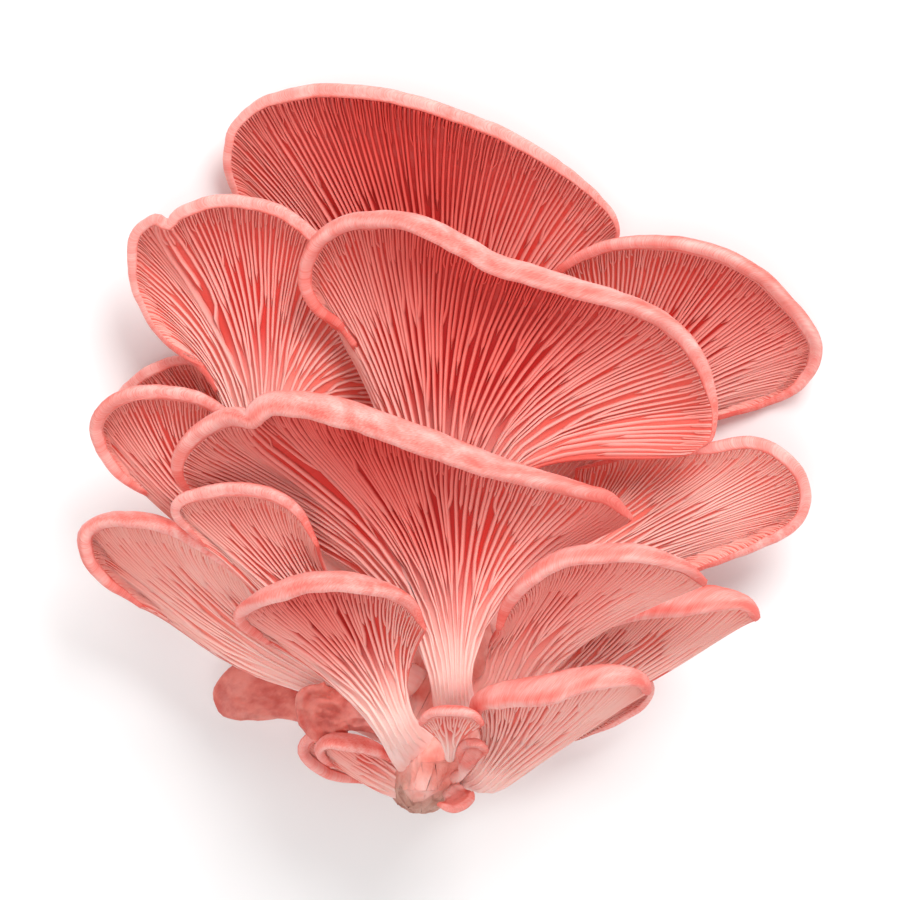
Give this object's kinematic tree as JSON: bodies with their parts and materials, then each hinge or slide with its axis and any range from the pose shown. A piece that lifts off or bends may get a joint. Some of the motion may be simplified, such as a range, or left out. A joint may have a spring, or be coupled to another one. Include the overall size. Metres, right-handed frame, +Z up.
{
  "type": "oyster mushroom cluster",
  "caption": "Cluster of pink oyster mushrooms lying on its back: wavy half-funnel caps with fine gills fan out and up from one small knobbly base.",
  "frame": {"origin": "centre of the bounding box's bottom face, on the surface that the cluster lies on", "axes": "+X across the cluster, its longest way; +Y from the cut base to the crown; +Z up, through the gilled faces"},
  "size_m": [0.1576, 0.1537, 0.0831],
  "materials": {
    "pink_flesh": "satin",
    "base_flesh": "matte"
  },
  "bodies": {
    "root": {"crown_mushroom": "pink_flesh", "upper_right_mushroom": "pink_flesh", "upper_left_mushroom": "pink_flesh", "great_mushroom": "pink_flesh", "front_mushroom": "pink_flesh", "mid_right_mushroom": "pink_flesh", "right_mushroom": "pink_flesh", "inner_left_mushroom": "pink_flesh", "front_left_mushroom": "pink_flesh", "left_mushroom": "pink_flesh", "back_left_mushroom": "pink_flesh", "lower_left_mushroom": "pink_flesh", "lower_right_mushroom": "pink_flesh", "front_right_mushroom": "pink_flesh", "lower_right_back_mushroom": "pink_flesh", "smooth_lobe": "pink_flesh", "crumpled_bud": "pink_flesh", "low_left_mushroom": "pink_flesh", "low_left_back_mushroom": "pink_flesh", "baby_mushroom": "pink_flesh", "button": "pink_flesh", "torn_flap": "base_flesh", "base": "base_flesh"}
  },
  "joints": []
}
